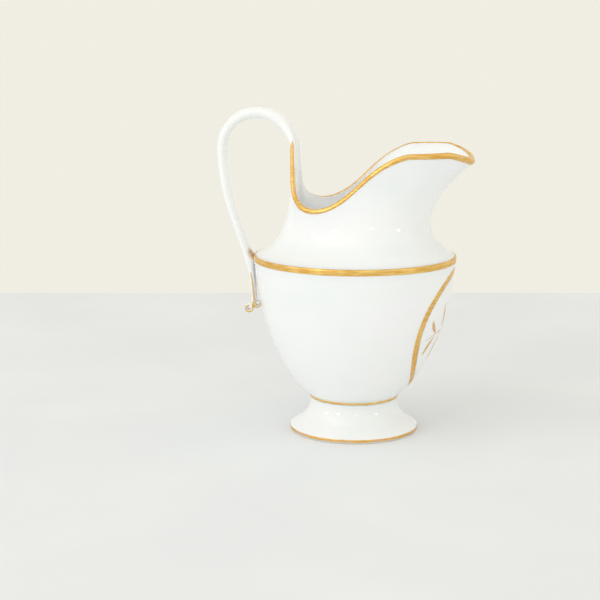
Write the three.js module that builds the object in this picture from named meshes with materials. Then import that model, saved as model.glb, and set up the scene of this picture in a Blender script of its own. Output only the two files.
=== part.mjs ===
// A white glazed porcelain cream jug with burnished gilding, on a spreading foot.
// Millimetres. +Z is up, the spout points along +X and the handle along -X.
// The origin is on the table under the middle of the jug's outline box.
import * as THREE from 'three';

// ---- Driving dimensions ----

// Foot
const FOOT_RADIUS = 31.7;
const FOOT_EDGE_HEIGHT = 2.4;
const FOOT_STEM_STEP = 0.4;
const FOOT_WALL = 3.4;
const FOOT_RIM_ROUNDING = 0.5;
const FOOT_FLARE_SPREAD = 0.5;
const FOOT_FLARE_LOW = 0.24;
const FOOT_FLARE_HIGH = 0.36;

// Bowl
const WAIST_HEIGHT = 16.6;
const WAIST_RADIUS = 22.1;
const WAIST_COLLAR = 1.4;
const SHOULDER_RADIUS = 49.6;
const SHOULDER_HEIGHT = 87.8;
const SHOULDER_EDGE = 3;
const SHOULDER_STEP = 0.5;
const BOWL_WALL = 3;
const BOWL_FLOOR = 4;
const BOWL_FLOOR_ROUNDING = 1.2;
const BOWL_SPREAD = 9;
const BOWL_SPREAD_RISE = 7.4;
const BOWL_BELLY_STEP = 2.5;
const BOWL_BELLY_SHARE = 0.44;
const SEAM_WIDTH = 5.5;

// Neck, lip and spout. The root and throat lists go from the back to the sides to the front. The lip
// is set out every 15 degrees from the spout to the handle: how far it spreads past the spout's reach,
// the lip's half width and the tongue's radius, and its height as shares of the rise it is on.
const NECK_WALL = 2.5;
const SPOUT_REACH = 57.5;
const SPOUT_TIP_HEIGHT = 134;
const SPOUT_CREST_HEIGHT = 140.6;
const LIP_LOW_HEIGHT = 112.3;
const LIP_HALF_WIDTH = 33;
const TONGUE_RADIUS = 31.3;
const TONGUE_EDGE_ANGLE = 22;
const SPOUT_SPREADS = [0, 1.9, 1, -4.4];
const LIP_SIDE_SPREADS = [11.9, 5, 0.8, 0.3, 1.6, 2.7];
const TONGUE_SPREADS = [2.5, 0, 0];
const SPOUT_RISES = [0, 0.1, 0.6, 1];
const LIP_SIDE_RISES = [0.91, 0.65, 0.33, 0.1, 0];
const TONGUE_RISES = [0.06, 0.35, 1.4, 1.9];
const NECK_ROOT_RADII = [30.8, 30, 31];
const NECK_ROOT_RISES = [5.9, 7.2, 9.2];
const THROAT_RADII = [31, 30.5, 33.5];
const THROAT_SHARE = 0.58;

// Handle
const HANDLE_REACH = 67.6;
const HANDLE_TOP = 159.6;
const LOOP_ROOT_THICKNESS = 6.6;
const LOOP_THICKNESS = 5.8;
const LEG_THICKNESS = 4.6;
const LEG_LOW_THICKNESS = 3.7;
const LEG_LOW_SHARE = 0.7;
const LEG_UPPER_PULL = 0.52;
const LEG_LOWER_PULL = 0.25;
const LEG_HOLLOW = 4.6;
const LANDING_THICKNESS = 4.8;
const STRAP_HALF_WIDTH = 5.6;
const LANDING_HALF_WIDTH = 4.6;
const TAIL_THICKNESS = 2.3;
const TAIL_HALF_WIDTH = 3.2;
const TAIL_LENGTH = 23.8;
const TAIL_UPPER_PULL = [1.2, 4];
const TAIL_LOWER_PULL = [0.2, 7];
const CURL_RADIUS = 2;
const OUTER_CURL_OFFSET = [2.6, 4.4];
const INNER_CURL_OFFSET = [1.2, 3.6];
const INNER_CURL_SHARE = 0.8;
const SCROLL_BEVEL = 0.5;

// Gilding
const GILDING = 0.12;
const LAYER_GAP = 0.1;
const LIP_GOLD_WIDTH = 1.5;
const SHOULDER_GOLD_WIDTH = 2.7;
const WAIST_GOLD_WIDTH = 1.1;
const FOOT_GOLD_WIDTH = 1.5;
const MEDALLION_TOP_GAP = 5.8;
const MEDALLION_FOOT_GAP = 5.4;
const MEDALLION_HALF_ANGLE = 42;
const MEDALLION_LINE_WIDTH = 4.2;
const TOP_STROKE_START = 0.42;
const TOP_STROKE_LENGTH = 0.26;
const TOP_STROKE_WIDTH = 1;
const DOTS_START = 0.76;
const DOT_RADIUS = 0.5;
const DOT_PITCH = 5.8;
const DOT_COUNT = 10;
const TAIL_LINE_WIDTHS = [0.3, 1.1];
const BAND_MARGIN = 0.2;

// Clearance between pieces that were luted together
const LUTE_GAP = 0.3;

// Fineness of the round surfaces
const FACETS = 48;
const NECK_FACETS = 72;

// ---- Finishes ----

const glaze = () => new THREE.MeshStandardMaterial({ color: 0xf3f4f0, roughness: 0.12, metalness: 0 });
const gold = () => new THREE.MeshStandardMaterial({ color: 0xd9a441, roughness: 0.3, metalness: 1 });

// ---- Tools ----

const degrees = THREE.MathUtils.degToRad;
const mix = THREE.MathUtils.lerp;
const across = new THREE.Vector3(0, 1, 0);

// Evenly spaced numbers from 0 to 1, both ends included.
function steps(count) {
  return Array.from({ length: count + 1 }, (_, index) => index / count);
}

// A point at a radius and an angle round the jug's axis; angle 0 is under the spout.
function around(angle, radius, height) {
  return new THREE.Vector3(radius * Math.cos(angle), radius * Math.sin(angle), height);
}

// The geometry with its faces turned outward.
function facingOut(geometry) {
  const position = geometry.attributes.position;
  const index = geometry.index.array;
  const [a, b, c] = [new THREE.Vector3(), new THREE.Vector3(), new THREE.Vector3()];
  let volume = 0;
  for (let face = 0; face < index.length; face += 3) {
    a.fromBufferAttribute(position, index[face]);
    b.fromBufferAttribute(position, index[face + 1]);
    c.fromBufferAttribute(position, index[face + 2]);
    volume += a.dot(b.cross(c));
  }
  if (volume < 0) {
    for (let face = 0; face < index.length; face += 3) {
      [index[face + 1], index[face + 2]] = [index[face + 2], index[face + 1]];
    }
  }
  geometry.computeVertexNormals();
  return geometry;
}

// A closed solid through a row of loops, each with the same number of points.
// A ring joins its last loop to its first; otherwise both ends are capped, from point k of the loop
// to the point that lies across from it, k from the loop's end.
function loft(loops, ring = false) {
  const size = loops[0].length;
  const points = loops.flat();
  const index = [];
  const rows = ring ? loops.length : loops.length - 1;
  for (let row = 0; row < rows; row++) {
    const here = row * size;
    const next = ((row + 1) % loops.length) * size;
    for (let k = 0; k < size; k++) {
      const after = (k + 1) % size;
      index.push(here + k, here + after, next + after, here + k, next + after, next + k);
    }
  }
  if (!ring) {
    const end = (loops.length - 1) * size;
    for (let k = 0; k < size / 2 - 1; k++) {
      const [near, far] = [size - 1 - k, size - 2 - k];
      index.push(k, near, k + 1, k + 1, near, far);
      index.push(end + k, end + k + 1, end + near, end + k + 1, end + far, end + near);
    }
  }
  const geometry = new THREE.BufferGeometry();
  geometry.setAttribute('position', new THREE.Float32BufferAttribute(points.flatMap((p) => p.toArray()), 3));
  geometry.setIndex(index);
  return facingOut(geometry);
}

// A solid of revolution about Z from a closed outline of [radius, height] points.
function turned(outline, facets = FACETS) {
  const loops = steps(facets).slice(0, -1).map((part) => {
    const angle = part * 2 * Math.PI;
    return outline.map(([radius, height]) => around(angle, radius, height));
  });
  return loft(loops, true);
}

// A thin layer along a path on a surface. Each stop has a point on the surface, the surface's
// normal there, the direction across the path, and half the layer's width.
function ribbon(stops, ring = false) {
  const loops = stops.map(({ point, normal, side, half }) => {
    const corner = (edge, lift) => point.clone()
      .addScaledVector(side, edge * half)
      .addScaledVector(normal, lift);
    const low = LAYER_GAP;
    const high = LAYER_GAP + GILDING;
    return [corner(-1, low), corner(1, low), corner(1, high), corner(-1, high)];
  });
  return loft(loops, ring);
}

function piece(name, geometry, material) {
  const mesh = new THREE.Mesh(geometry, material);
  mesh.name = name;
  return mesh;
}

// ---- Foot ----

const FOOT_TOP = WAIST_HEIGHT;
const FOOT_STEM_RADIUS = WAIST_RADIUS - FOOT_STEM_STEP;

function footGeometry() {
  const stemRise = FOOT_TOP - FOOT_EDGE_HEIGHT;
  const flare = new THREE.CubicBezierCurve(
    new THREE.Vector2(FOOT_RADIUS, FOOT_EDGE_HEIGHT),
    new THREE.Vector2(
      mix(FOOT_RADIUS, FOOT_STEM_RADIUS, FOOT_FLARE_SPREAD),
      FOOT_EDGE_HEIGHT + FOOT_FLARE_LOW * stemRise,
    ),
    new THREE.Vector2(FOOT_STEM_RADIUS, FOOT_EDGE_HEIGHT + FOOT_FLARE_HIGH * stemRise),
    new THREE.Vector2(FOOT_STEM_RADIUS, FOOT_TOP),
  );
  const outside = flare.getPoints(8).map((p) => [p.x, p.y]);
  const inside = flare.getPoints(6).reverse().map((p) => [p.x - FOOT_WALL, p.y]);
  return turned([
    [FOOT_RADIUS - FOOT_RIM_ROUNDING, 0],
    [FOOT_RADIUS, FOOT_RIM_ROUNDING],
    ...outside,
    ...inside,
    [FOOT_RADIUS - FOOT_WALL, 0],
  ]);
}

// ---- Bowl ----

const EDGE_BOTTOM = SHOULDER_HEIGHT - SHOULDER_EDGE;
const bowlCurve = new THREE.CubicBezierCurve(
  new THREE.Vector2(WAIST_RADIUS, WAIST_HEIGHT + WAIST_COLLAR),
  new THREE.Vector2(WAIST_RADIUS + BOWL_SPREAD, WAIST_HEIGHT + BOWL_SPREAD_RISE),
  new THREE.Vector2(SHOULDER_RADIUS - BOWL_BELLY_STEP, mix(WAIST_HEIGHT, SHOULDER_HEIGHT, BOWL_BELLY_SHARE)),
  new THREE.Vector2(SHOULDER_RADIUS - SHOULDER_STEP, EDGE_BOTTOM - SHOULDER_STEP),
);

// The place on a profile curve, from 0 to 1, that has the given height.
function placeAtHeight(curve, height) {
  let [low, high] = [0, 1];
  for (let turn = 0; turn < 30; turn++) {
    const middle = (low + high) / 2;
    if (curve.getPoint(middle).y < height) {
      low = middle;
    } else {
      high = middle;
    }
  }
  return (low + high) / 2;
}

// A point on the bowl's outside and its outward normal.
function onBowl(angle, height) {
  const place = placeAtHeight(bowlCurve, height);
  const { x: radius } = bowlCurve.getPoint(place);
  const slope = bowlCurve.getTangent(place);
  return { point: around(angle, radius, height), normal: around(angle, slope.y, -slope.x), radius };
}

// A profile moved inward by a wall thickness, from the place `from` to the place `to`.
function insideOf(curve, wall, from, to, count) {
  return steps(count).map((part) => {
    const place = mix(from, to, part);
    const point = curve.getPoint(place);
    const slope = curve.getTangent(place);
    return [point.x - slope.y * wall, point.y + slope.x * wall];
  });
}

function bowlGeometry() {
  const outside = bowlCurve.getPoints(11).map((p) => [p.x, p.y]);
  const floor = WAIST_HEIGHT + BOWL_FLOOR;
  const inside = insideOf(bowlCurve, BOWL_WALL, 1, 0.2, 8);
  const outline = [
    [0, WAIST_HEIGHT],
    [WAIST_RADIUS, WAIST_HEIGHT],
    ...outside,
    [SHOULDER_RADIUS, EDGE_BOTTOM],
    [SHOULDER_RADIUS, SHOULDER_HEIGHT],
    [SHOULDER_RADIUS - SEAM_WIDTH, SHOULDER_HEIGHT],
    ...inside,
    [WAIST_RADIUS - BOWL_WALL, floor + BOWL_FLOOR_ROUNDING],
    [WAIST_RADIUS - 2 * BOWL_WALL, floor],
    [0, floor],
  ];
  const profile = outline.map(([radius, height]) => new THREE.Vector2(radius, height));
  return new THREE.LatheGeometry(profile, FACETS).rotateX(Math.PI / 2);
}

// ---- Neck, lip and spout ----

// The handle's round loop springs from the middle of the tongue's wall.
const TONGUE_MIDDLE = TONGUE_RADIUS - NECK_WALL / 2;
const LOOP_RADIUS = (HANDLE_REACH - LEG_THICKNESS / 2 - TONGUE_MIDDLE) / 2;
const LOOP_CENTRE_HEIGHT = HANDLE_TOP - LOOP_THICKNESS / 2 - LOOP_RADIUS;
const TONGUE_TOP = LOOP_CENTRE_HEIGHT;

// The lip's crown at every 15 degrees from the spout (0) to the tongue under the handle (180). Past
// the tongue's edge the heights run on above its top, where the handle takes over.
const lipRadii = [
  ...SPOUT_SPREADS.map((spread) => SPOUT_REACH + spread),
  ...LIP_SIDE_SPREADS.map((spread) => LIP_HALF_WIDTH + spread),
  ...TONGUE_SPREADS.map((spread) => TONGUE_RADIUS + spread),
];
const lipHeights = [
  ...SPOUT_RISES.map((share) => mix(SPOUT_TIP_HEIGHT, SPOUT_CREST_HEIGHT, share)),
  ...LIP_SIDE_RISES.map((share) => mix(LIP_LOW_HEIGHT, SPOUT_CREST_HEIGHT, share)),
  ...TONGUE_RISES.map((share) => mix(LIP_LOW_HEIGHT, TONGUE_TOP, share)),
];

// A smooth curve through a list that runs from angle 0 to 180 and mirrors on both sides.
function roundTheLip(list, angle) {
  const last = list.length - 1;
  const folded = Math.abs(Math.atan2(Math.sin(angle), Math.cos(angle)));
  const place = (folded / Math.PI) * last;
  const cell = Math.min(Math.floor(place), last - 1);
  const value = (k) => list[k < 0 ? -k : k > last ? 2 * last - k : k];
  const [p, q, r, s] = [value(cell - 1), value(cell), value(cell + 1), value(cell + 2)];
  const x = place - cell;
  return q + 0.5 * x * (r - p + x * (2 * p - 5 * q + 4 * r - s + x * (3 * (q - r) + s - p)));
}

// A value that is one thing at the back, another at the sides and another at the front.
function roundTheNeck(angle, back, side, front) {
  const forward = Math.cos(angle);
  return mix(side, forward > 0 ? front : back, Math.abs(forward) ** 1.5);
}

// The neck's outside at one angle, from the shoulder up to where the lip's rounding starts, as radius
// and height.
function neckCurve(angle) {
  const crown = new THREE.Vector2(
    roundTheLip(lipRadii, angle),
    Math.min(roundTheLip(lipHeights, angle), TONGUE_TOP),
  );
  const throat = new THREE.Vector2(
    roundTheNeck(angle, ...THROAT_RADII),
    mix(SHOULDER_HEIGHT, crown.y, THROAT_SHARE),
  );
  const rise = crown.clone().sub(throat).normalize();
  return new THREE.CubicBezierCurve(
    new THREE.Vector2(SHOULDER_RADIUS, SHOULDER_HEIGHT),
    new THREE.Vector2(
      roundTheNeck(angle, ...NECK_ROOT_RADII),
      SHOULDER_HEIGHT + roundTheNeck(angle, ...NECK_ROOT_RISES),
    ),
    throat,
    crown.addScaledVector(rise, -NECK_WALL / 2),
  );
}

// Points over the rounded lip, from the outside to the inside, lifted off the glaze by `lift`.
function overTheLip(curve, count, lift = 0) {
  const edge = curve.getPoint(1);
  const rise = curve.getTangent(1);
  const radius = NECK_WALL / 2;
  const middle = edge.clone().add(new THREE.Vector2(-rise.y, rise.x).multiplyScalar(radius));
  return steps(count).map((part) => {
    const turn = part * Math.PI;
    return middle.clone()
      .add(new THREE.Vector2(rise.y, -rise.x).multiplyScalar((radius + lift) * Math.cos(turn)))
      .add(rise.clone().multiplyScalar((radius + lift) * Math.sin(turn)));
  });
}

// The place on a neck profile where the gilding of the lip ends.
function goldPlace(curve) {
  return curve.getUtoTmapping(0, curve.getLength() - LIP_GOLD_WIDTH);
}

function neckGeometry() {
  const shares = [0, 0.12, 0.28, 0.46, 0.64, 0.82, 1];
  const loops = steps(NECK_FACETS).slice(0, -1).map((part) => {
    const angle = part * 2 * Math.PI;
    const curve = neckCurve(angle);
    const outline = [
      ...shares.map((share) => curve.getPoint(share * goldPlace(curve)).toArray()),
      ...overTheLip(curve, 3).map((p) => p.toArray()),
      ...insideOf(curve, NECK_WALL, 0.82, 0.24, 4),
      [SHOULDER_RADIUS - SEAM_WIDTH, SHOULDER_HEIGHT],
    ];
    return outline.map(([radius, height]) => around(angle, radius, height));
  });
  return loft(loops, true);
}

// ---- Handle ----

const loopCentre = new THREE.Vector2(-(TONGUE_MIDDLE + LOOP_RADIUS), LOOP_CENTRE_HEIGHT);
const shoulderFace = SHOULDER_RADIUS + LAYER_GAP + GILDING + LUTE_GAP;
const landing = new THREE.Vector2(-(shoulderFace + LANDING_THICKNESS / 2), SHOULDER_HEIGHT - SHOULDER_EDGE);
const TAIL_END_HEIGHT = SHOULDER_HEIGHT - TAIL_LENGTH;
const tailFoot = new THREE.Vector2(-SHOULDER_RADIUS, TAIL_END_HEIGHT);

// The handle's centreline in the jug's middle plane, as X and Z: a round loop, a leg that leans in
// to the shoulder, and a tail that hangs down beside the bowl.
const loopLeft = new THREE.Vector2(loopCentre.x - LOOP_RADIUS, LOOP_CENTRE_HEIGHT);
const handleLoop = new THREE.EllipseCurve(
  loopCentre.x, loopCentre.y, LOOP_RADIUS, LOOP_RADIUS, 0, Math.PI, false,
);
const handleLeg = new THREE.CubicBezierCurve(
  loopLeft,
  new THREE.Vector2(loopLeft.x, mix(SHOULDER_HEIGHT, LOOP_CENTRE_HEIGHT, LEG_UPPER_PULL)),
  new THREE.Vector2(landing.x - LEG_HOLLOW, mix(SHOULDER_HEIGHT, LOOP_CENTRE_HEIGHT, LEG_LOWER_PULL)),
  landing,
);
const handleTail = new THREE.CubicBezierCurve(
  landing,
  new THREE.Vector2(landing.x + TAIL_UPPER_PULL[0], landing.y - TAIL_UPPER_PULL[1]),
  new THREE.Vector2(tailFoot.x - TAIL_LOWER_PULL[0], tailFoot.y + TAIL_LOWER_PULL[1]),
  tailFoot,
);
const LOOP_STEPS = 16;
const LEG_STEPS = 12;
const TAIL_STEPS = 6;
const tongueHalfWidth = TONGUE_RADIUS * Math.sin(degrees(TONGUE_EDGE_ANGLE));

// The strap's size along the loop: a wide bent blade on the tongue that closes to a rounded strap.
function strapOnLoop(part) {
  const closing = THREE.MathUtils.smoothstep(part, 0, 0.5);
  const swelling = THREE.MathUtils.smoothstep(part, 0, 0.2);
  const settling = THREE.MathUtils.smoothstep(part, 0.2, 0.45);
  const thinning = THREE.MathUtils.smoothstep(part, 0.6, 1);
  const root = mix(NECK_WALL, LOOP_ROOT_THICKNESS, swelling);
  return {
    half: mix(tongueHalfWidth, STRAP_HALF_WIDTH, 1 - (1 - closing) ** 2),
    thick: mix(mix(root, LOOP_THICKNESS, settling), LEG_THICKNESS, thinning),
    bend: mix(1 / TONGUE_RADIUS, 0, closing),
  };
}

// How thick the leg is: thinnest above the landing, where it swells again to meet the shoulder.
function legThickness(part) {
  if (part < LEG_LOW_SHARE) {
    return mix(LEG_THICKNESS, LEG_LOW_THICKNESS, part / LEG_LOW_SHARE);
  }
  return mix(LEG_LOW_THICKNESS, LANDING_THICKNESS, (part - LEG_LOW_SHARE) / (1 - LEG_LOW_SHARE));
}

// Stations along the handle, each with its centre, its outward direction and its size.
function handleStations() {
  const station = (curve, place, size) => {
    const centre = curve.getPoint(place);
    const slope = curve.getTangent(place);
    return {
      centre: new THREE.Vector3(centre.x, 0, centre.y),
      out: new THREE.Vector3(slope.y, 0, -slope.x),
      ...size,
    };
  };
  const loop = steps(LOOP_STEPS).map((part) => station(handleLoop, part, strapOnLoop(part)));
  const leg = steps(LEG_STEPS).slice(1).map((part) => station(handleLeg, part, {
    half: mix(STRAP_HALF_WIDTH, LANDING_HALF_WIDTH, part),
    thick: legThickness(part),
    bend: 0,
  }));
  const tail = steps(TAIL_STEPS).slice(1).map((part) => station(handleTail, part, {
    half: mix(LANDING_HALF_WIDTH, TAIL_HALF_WIDTH, part),
    thick: mix(LANDING_THICKNESS, TAIL_THICKNESS, Math.sqrt(part)),
    bend: 0,
  }));
  return [...loop, ...leg, ...tail];
}

const stations = handleStations();

function handleGeometry() {
  const sides = 12;
  const loops = stations.map(({ centre, out, half, thick, bend }) => steps(sides).slice(0, -1).map((part) => {
    const turn = (part + 0.5 / sides) * 2 * Math.PI;
    const width = half * Math.cos(turn);
    const lift = (thick / 2) * Math.sin(turn) + (bend * width * width) / 2;
    return centre.clone().addScaledVector(across, width).addScaledVector(out, lift);
  }));
  loops[0].forEach((point) => point.setZ(TONGUE_TOP + NECK_WALL / 2 + LUTE_GAP));
  return loft(loops);
}

// The handle's end splits into two small volutes, one curling away from the bowl and one onto it.
function scrollGeometry() {
  const top = TAIL_END_HEIGHT - LUTE_GAP;
  const neckHalf = TAIL_THICKNESS / 2;
  const outer = new THREE.Vector2(tailFoot.x - OUTER_CURL_OFFSET[0], TAIL_END_HEIGHT - OUTER_CURL_OFFSET[1]);
  const inner = new THREE.Vector2(tailFoot.x + INNER_CURL_OFFSET[0], TAIL_END_HEIGHT - INNER_CURL_OFFSET[1]);
  const outline = new THREE.Shape();
  outline.moveTo(tailFoot.x + neckHalf, top);
  outline.lineTo(tailFoot.x - neckHalf, top);
  outline.absarc(outer.x, outer.y, CURL_RADIUS, degrees(95), degrees(330), false);
  outline.absarc(inner.x, inner.y, CURL_RADIUS * INNER_CURL_SHARE, degrees(240), degrees(430), false);
  return new THREE.ExtrudeGeometry(outline, {
    depth: 2 * (TAIL_HALF_WIDTH - SCROLL_BEVEL),
    bevelEnabled: true,
    bevelThickness: SCROLL_BEVEL,
    bevelSize: SCROLL_BEVEL,
    bevelOffset: -SCROLL_BEVEL,
    bevelSegments: 1,
    curveSegments: 8,
  }).translate(0, 0, -(TAIL_HALF_WIDTH - SCROLL_BEVEL)).rotateX(Math.PI / 2);
}

// ---- Gilding ----

// A gilt ring painted round an upright stretch of a turned piece.
function bandGeometry(radius, bottom, width) {
  const low = radius + LAYER_GAP;
  const high = low + GILDING;
  return turned([[low, bottom], [high, bottom], [high, bottom + width], [low, bottom + width]]);
}

// The lip's gilding: it runs over the lip and down the outside, from one edge of the tongue to the other.
function lipGildingGeometry() {
  const reach = Math.round((degrees(155) / (2 * Math.PI)) * NECK_FACETS);
  const loops = [];
  for (let facet = -reach; facet <= reach; facet++) {
    const angle = (facet / NECK_FACETS) * 2 * Math.PI;
    const curve = neckCurve(angle);
    const skirt = goldPlace(curve);
    const skirtPoint = (lift) => {
      const slope = curve.getTangent(skirt);
      return curve.getPoint(skirt).add(new THREE.Vector2(slope.y, -slope.x).multiplyScalar(lift));
    };
    const under = [skirtPoint(LAYER_GAP), ...overTheLip(curve, 3, LAYER_GAP)];
    const over = [skirtPoint(LAYER_GAP + GILDING), ...overTheLip(curve, 3, LAYER_GAP + GILDING)];
    loops.push([...under, ...over.reverse()].map((p) => around(angle, p.x, p.y)));
  }
  return loft(loops);
}

// A stop on the bowl for a painted line that runs in the given direction.
function bowlStop(angle, height, angleStep, heightStep, half) {
  const { point, normal } = onBowl(angle, height);
  const ahead = onBowl(angle + angleStep, height + heightStep).point;
  const behind = onBowl(angle - angleStep, height - heightStep).point;
  const side = new THREE.Vector3().crossVectors(normal, ahead.sub(behind)).normalize();
  return { point, normal, side, half };
}

const MEDALLION_TOP = SHOULDER_HEIGHT - MEDALLION_TOP_GAP;
const MEDALLION_FOOT = WAIST_HEIGHT + MEDALLION_FOOT_GAP;
const MEDALLION_CENTRE_HEIGHT = (MEDALLION_TOP + MEDALLION_FOOT) / 2;
const MEDALLION_HALF_HEIGHT = (MEDALLION_TOP - MEDALLION_FOOT) / 2;
const MEDALLION_STEPS = 44;

function medallionGeometry() {
  const halfAngle = degrees(MEDALLION_HALF_ANGLE);
  const stride = 1 / MEDALLION_STEPS;
  const stops = steps(MEDALLION_STEPS).slice(0, -1).map((part) => {
    const turn = part * 2 * Math.PI;
    return bowlStop(
      halfAngle * Math.cos(turn),
      MEDALLION_CENTRE_HEIGHT + MEDALLION_HALF_HEIGHT * Math.sin(turn),
      -halfAngle * Math.sin(turn) * stride,
      MEDALLION_HALF_HEIGHT * Math.cos(turn) * stride,
      MEDALLION_LINE_WIDTH / 2,
    );
  });
  return ribbon(stops, true);
}

// A painted stroke on the bowl between two [degrees, height] places, with a bow and a pointed width.
function strokeGeometry(from, to, bow, width, count) {
  const path = new THREE.QuadraticBezierCurve(
    new THREE.Vector2(...from),
    new THREE.Vector2((from[0] + to[0]) / 2 + bow[0], (from[1] + to[1]) / 2 + bow[1]),
    new THREE.Vector2(...to),
  );
  const stops = steps(count).map((part) => {
    const place = path.getPoint(part);
    const step = path.getTangent(part).multiplyScalar(0.5);
    const half = (width / 2) * Math.max(Math.sin(Math.PI * part), 0.15);
    return bowlStop(degrees(place.x), place.y, degrees(step.x), step.y, half);
  });
  return ribbon(stops);
}

// The sprig inside the medallion: a bowed stem with leaves in pairs above and below it. Each leaf has
// the degrees where it leaves the stem, the degrees of its tip, and its tip's height from the stem as
// a share of the medallion's half height.
const STEM_REACH = 34;
const STEM_BOW = 2;
const STEM_WIDTH = 1;
const LEAF_WIDTH = 3;
const LEAF_GAP = 1.4;
const SPRIG_LEAVES = [
  [-21, -30, 0.3],
  [-21, -30, -0.3],
  [-8, -16, 0.5],
  [-8, -16, -0.47],
  [8, 16, 0.5],
  [8, 16, -0.47],
  [21, 30, 0.3],
  [21, 30, -0.3],
];

function stemHeight(turn) {
  return MEDALLION_CENTRE_HEIGHT - STEM_BOW * (turn / STEM_REACH) ** 2;
}

function sprigPieces() {
  const stemEnds = [-STEM_REACH, STEM_REACH].map((turn) => [turn, stemHeight(turn)]);
  const stem = strokeGeometry(...stemEnds, [0, 2 * STEM_BOW], STEM_WIDTH, 20);
  const leaves = SPRIG_LEAVES.map(([turn, tipTurn, tipRise], index) => {
    const foot = [turn, stemHeight(turn) + Math.sign(tipRise) * LEAF_GAP];
    const tip = [tipTurn, stemHeight(tipTurn) + tipRise * MEDALLION_HALF_HEIGHT];
    return piece(`sprig_leaf_${index + 1}`, strokeGeometry(foot, tip, [0, 0], LEAF_WIDTH, 6), gold());
  });
  return [piece('sprig_stem', stem, gold()), ...leaves];
}

// Where the handle's outer spine is, a given distance along the handle from the top of the tongue.
function spineStops(from, length, count, half) {
  const lengths = stations.map((station, k) => (k ? station.centre.distanceTo(stations[k - 1].centre) : 0));
  return steps(count).map((part) => {
    let [rest, k] = [from + part * length, 1];
    while (rest > lengths[k]) {
      rest -= lengths[k];
      k++;
    }
    const [before, after] = [stations[k - 1], stations[k]];
    const share = rest / lengths[k];
    const normal = before.out.clone().lerp(after.out, share).normalize();
    const thick = mix(before.thick, after.thick, share);
    const point = before.centre.clone().lerp(after.centre, share).addScaledVector(normal, thick / 2);
    return { point, normal, side: across, half: half(part) };
  });
}

function spineGilding() {
  const loopLength = Math.PI * LOOP_RADIUS;
  const tapered = (part) => (TOP_STROKE_WIDTH / 2) * Math.max(Math.sin(Math.PI * part), 0.2);
  const strokeStops = spineStops(TOP_STROKE_START * loopLength, TOP_STROKE_LENGTH * loopLength, 8, tapered);
  const pieces = [piece('handle_top_stroke', ribbon(strokeStops), gold())];
  const firstDot = DOTS_START * loopLength;
  for (let dot = 0; dot < DOT_COUNT; dot++) {
    const disc = (part) => DOT_RADIUS * Math.max(Math.sin(Math.PI * part), 0.4);
    const stops = spineStops(firstDot + dot * DOT_PITCH, 2 * DOT_RADIUS, 4, disc);
    pieces.push(piece(`handle_dot_${dot + 1}`, ribbon(stops), gold()));
  }
  return pieces;
}

// The gilt lines along the two edges of the tail.
function tailLine(side) {
  const edge = stations.slice(-TAIL_STEPS);
  const stops = edge.map(({ centre, out, half }, k) => ({
    point: centre.clone().addScaledVector(across, side * half),
    normal: across.clone().multiplyScalar(side),
    side: out,
    half: mix(...TAIL_LINE_WIDTHS, k / (edge.length - 1)) / 2,
  }));
  return ribbon(stops);
}

// ---- The jug ----

const jug = new THREE.Group();
jug.position.x = (HANDLE_REACH - SPOUT_REACH) / 2;
jug.add(
  piece('foot', footGeometry(), glaze()),
  piece('bowl', bowlGeometry(), glaze()),
  piece('neck', neckGeometry(), glaze()),
  piece('handle', handleGeometry(), glaze()),
  piece('handle_scroll', scrollGeometry(), glaze()),
  piece('lip_gilding', lipGildingGeometry(), gold()),
  piece(
    'shoulder_band',
    bandGeometry(
      SHOULDER_RADIUS,
      SHOULDER_HEIGHT - (SHOULDER_EDGE + SHOULDER_GOLD_WIDTH) / 2,
      SHOULDER_GOLD_WIDTH,
    ),
    gold(),
  ),
  piece('waist_ring', bandGeometry(WAIST_RADIUS, WAIST_HEIGHT + BAND_MARGIN, WAIST_GOLD_WIDTH), gold()),
  piece('foot_band', bandGeometry(FOOT_RADIUS, FOOT_RIM_ROUNDING + BAND_MARGIN, FOOT_GOLD_WIDTH), gold()),
  piece('medallion_frame', medallionGeometry(), gold()),
  ...sprigPieces(),
  ...spineGilding(),
  piece('tail_line_near', tailLine(-1), gold()),
  piece('tail_line_far', tailLine(1), gold()),
);

export default jug;
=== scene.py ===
"""A white porcelain cream jug with burnished gilding, on a pale cloth.

Metres, +Z up, the spout towards +X and the handle towards -X. Sizes below are in millimetres from the
axis of the turned body, and `place` brings them into the frame.
"""
import math

import bmesh
import bpy
import numpy as np
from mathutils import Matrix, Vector
from mathutils.bvhtree import BVHTree


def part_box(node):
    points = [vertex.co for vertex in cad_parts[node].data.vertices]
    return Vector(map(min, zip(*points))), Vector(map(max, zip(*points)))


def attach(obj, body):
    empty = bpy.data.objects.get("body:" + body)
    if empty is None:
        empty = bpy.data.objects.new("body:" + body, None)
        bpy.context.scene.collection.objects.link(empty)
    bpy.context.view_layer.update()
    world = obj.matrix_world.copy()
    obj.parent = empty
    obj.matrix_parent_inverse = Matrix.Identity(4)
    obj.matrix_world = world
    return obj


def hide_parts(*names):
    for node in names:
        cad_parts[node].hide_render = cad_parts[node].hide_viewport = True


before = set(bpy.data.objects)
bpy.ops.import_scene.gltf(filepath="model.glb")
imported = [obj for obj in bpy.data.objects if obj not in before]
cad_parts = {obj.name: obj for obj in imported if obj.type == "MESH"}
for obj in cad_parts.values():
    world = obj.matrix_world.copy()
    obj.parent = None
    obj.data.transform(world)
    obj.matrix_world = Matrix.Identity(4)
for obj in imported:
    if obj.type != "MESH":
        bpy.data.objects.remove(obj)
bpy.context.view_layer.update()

MM = 0.001

# ---- The potter's sizes, in millimetres ----

foot_low, foot_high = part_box("foot")
AXIS_X = (foot_low.x + foot_high.x) / 2 / MM

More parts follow.
